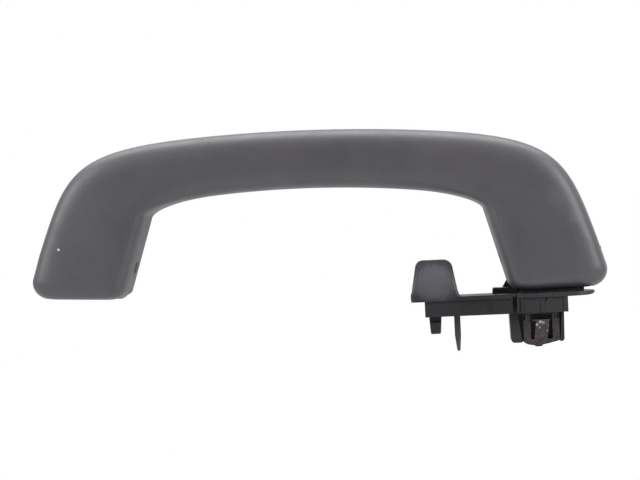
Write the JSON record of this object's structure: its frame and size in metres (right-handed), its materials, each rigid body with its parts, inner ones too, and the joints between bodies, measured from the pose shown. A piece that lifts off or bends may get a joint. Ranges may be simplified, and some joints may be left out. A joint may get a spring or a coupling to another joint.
{
  "type": "roof grab handle",
  "caption": "Folding roof grab handle with a slim crowned bar, hollow feet, a damped hinge bracket, a coat hook and a spring clip tower that snaps into the roof panel.",
  "frame": {"origin": "middle of the bracket's seat on the roof panel, on the axis of its clip tower", "axes": "+X along the handle towards the right-hand foot, +Y from the viewer towards the back, +Z from the roof seat towards the grip; -Z goes into the roof"},
  "size_m": [0.2472, 0.0252, 0.0953],
  "materials": {
    "handle_plastic": "fine grained moulded polypropylene, dark charcoal",
    "bracket_plastic": "smooth moulded nylon, near black",
    "hook_plastic": "fine grained moulded nylon, dark charcoal",
    "pin_steel": "bright ground steel",
    "damper_plastic": "natural acetal",
    "rotor_plastic": "natural acetal",
    "cap_plastic": "grey acetal",
    "seal_rubber": "black nitrile",
    "clip_steel": "dark phosphated spring steel, worn bright on the tongue"
  },
  "bodies": {
    "base": {"hinge_bracket": "bracket_plastic", "coat_hook_module": "hook_plastic", "spring_clip": "clip_steel", "damper_housing": "damper_plastic", "damper_cap": "cap_plastic", "damper_seal": "seal_rubber"},
    "handle": {"handle_body": "handle_plastic", "hinge_pin": "pin_steel", "left_hinge_pin": "pin_steel", "damper_rotor": "rotor_plastic"}
  },
  "joints": [
    {"name": "fold", "type": "hinge", "parent": "base", "child": "handle", "pos_m": [0, 0, 0.023], "axis": [-1, 0, 0], "range_deg": [0, 90]}
  ]
}
